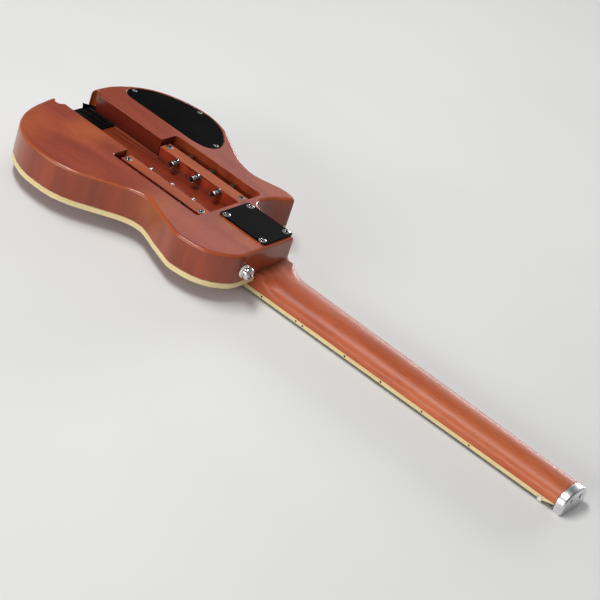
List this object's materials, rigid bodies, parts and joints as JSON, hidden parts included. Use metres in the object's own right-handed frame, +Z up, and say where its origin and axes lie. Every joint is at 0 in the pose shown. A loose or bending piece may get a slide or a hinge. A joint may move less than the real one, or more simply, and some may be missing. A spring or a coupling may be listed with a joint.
{
  "type": "electric travel guitar",
  "caption": "Headless single-cutaway travel guitar, face down, with strings wrapped round the tail to tuners in a rear well and a round-backed bolt-on neck.",
  "frame": {"origin": "centre of the length and width at the surface the guitar lies on, face down", "axes": "+X along the neck towards the nut end, +Y to the treble side, +Z up to the back of the body"},
  "size_m": [0.7182, 0.248, 0.0597],
  "materials": {
    "mahogany": "gloss reddish brown stain",
    "neck_wood": "satin reddish brown stain",
    "rail_wood": "satin reddish brown stain",
    "rosewood": "open-pored dark wood",
    "cream": "gloss cream binding",
    "bone": "polished off-white",
    "black_plastic": "semi-gloss black",
    "black_metal": "gloss black",
    "chrome": "bright plated",
    "polished": "polished",
    "steel": "drawn steel"
  },
  "bodies": {
    "guitar": {"body": "mahogany", "body_binding_bass": "cream", "body_binding_treble": "cream", "neck": "neck_wood", "fretboard": "rosewood", "fretboard_binding_bass": "cream", "fretboard_binding_treble": "cream", "nut": "bone", "string_end_block": "polished", "neck_plate": "black_metal", "control_cover": "black_plastic", "bridge": "chrome", "tail_string_guide": "black_metal", "pickup": "black_plastic", "pickup_ring": "black_plastic", "volume_pot": "steel", "output_jack": "chrome", "tuner_rail_bass": "rail_wood", "tuner_rail_treble": "rail_wood", "tuner_housing_1": "chrome", "string_1": "steel", "tuner_housing_2": "chrome", "string_2": "steel", "tuner_housing_3": "chrome", "string_3": "steel", "tuner_housing_4": "chrome", "string_4": "steel", "tuner_housing_5": "chrome", "string_5": "steel", "tuner_housing_6": "chrome", "string_6": "steel", "neck_screw_1": "chrome", "neck_screw_2": "chrome", "neck_screw_3": "chrome", "neck_screw_4": "chrome", "block_screw_1": "chrome", "block_screw_2": "chrome", "rail_screw_1": "chrome", "rail_screw_2": "chrome", "rail_screw_3": "chrome", "rail_screw_4": "chrome", "cover_screw_1": "chrome", "cover_screw_2": "chrome", "cover_screw_3": "chrome", "strap_button_shoulder": "chrome", "strap_button_tail": "chrome"},
    "knob": {"volume_knob": "black_plastic"},
    "button_1": {"tuner_button_1": "chrome"},
    "post_1": {"tuner_post_1": "chrome"},
    "button_2": {"tuner_button_2": "chrome"},
    "post_2": {"tuner_post_2": "chrome"},
    "button_3": {"tuner_button_3": "chrome"},
    "post_3": {"tuner_post_3": "chrome"},
    "button_4": {"tuner_button_4": "chrome"},
    "post_4": {"tuner_post_4": "chrome"},
    "button_5": {"tuner_button_5": "chrome"},
    "post_5": {"tuner_post_5": "chrome"},
    "button_6": {"tuner_button_6": "chrome"},
    "post_6": {"tuner_post_6": "chrome"}
  },
  "joints": [
    {"name": "button_1_turn", "type": "hinge", "parent": "guitar", "child": "button_1", "pos_m": [-0.20271, -0.0428, 0.0094], "axis": [0, 0, 1], "continuous": true},
    {"name": "post_1_turn", "type": "hinge", "parent": "guitar", "child": "post_1", "pos_m": [-0.20921, -0.03, 0.0461], "axis": [0, 1, 0], "continuous": true},
    {"name": "button_2_turn", "type": "hinge", "parent": "guitar", "child": "button_2", "pos_m": [-0.17171, -0.0428, 0.0094], "axis": [0, 0, 1], "continuous": true},
    {"name": "post_2_turn", "type": "hinge", "parent": "guitar", "child": "post_2", "pos_m": [-0.17821, -0.03, 0.0461], "axis": [0, 1, 0], "continuous": true},
    {"name": "button_3_turn", "type": "hinge", "parent": "guitar", "child": "button_3", "pos_m": [-0.14071, -0.0428, 0.0094], "axis": [0, 0, 1], "continuous": true},
    {"name": "post_3_turn", "type": "hinge", "parent": "guitar", "child": "post_3", "pos_m": [-0.14721, -0.03, 0.0461], "axis": [0, 1, 0], "continuous": true},
    {"name": "button_4_turn", "type": "hinge", "parent": "guitar", "child": "button_4", "pos_m": [-0.14071, 0.0428, 0.0094], "axis": [0, 0, 1], "continuous": true},
    {"name": "post_4_turn", "type": "hinge", "parent": "guitar", "child": "post_4", "pos_m": [-0.14721, 0.03, 0.0461], "axis": [0, 1, 0], "continuous": true},
    {"name": "button_5_turn", "type": "hinge", "parent": "guitar", "child": "button_5", "pos_m": [-0.17171, 0.0428, 0.0094], "axis": [0, 0, 1], "continuous": true},
    {"name": "post_5_turn", "type": "hinge", "parent": "guitar", "child": "post_5", "pos_m": [-0.17821, 0.03, 0.0461], "axis": [0, 1, 0], "continuous": true},
    {"name": "button_6_turn", "type": "hinge", "parent": "guitar", "child": "button_6", "pos_m": [-0.20271, 0.0428, 0.0094], "axis": [0, 0, 1], "continuous": true},
    {"name": "post_6_turn", "type": "hinge", "parent": "guitar", "child": "post_6", "pos_m": [-0.20921, 0.03, 0.0461], "axis": [0, 1, 0], "continuous": true},
    {"name": "volume_turn", "type": "hinge", "parent": "guitar", "child": "knob", "pos_m": [-0.28921, 0.088, 0.0097], "axis": [0, 0, 1], "range_deg": [-150, 150]}
  ],
  "couplings": [
    {"joint": "post_1_turn", "follows": "button_1_turn", "ratio": -0.066667},
    {"joint": "post_2_turn", "follows": "button_2_turn", "ratio": -0.066667},
    {"joint": "post_3_turn", "follows": "button_3_turn", "ratio": -0.066667},
    {"joint": "post_4_turn", "follows": "button_4_turn", "ratio": 0.066667},
    {"joint": "post_5_turn", "follows": "button_5_turn", "ratio": 0.066667},
    {"joint": "post_6_turn", "follows": "button_6_turn", "ratio": 0.066667}
  ]
}
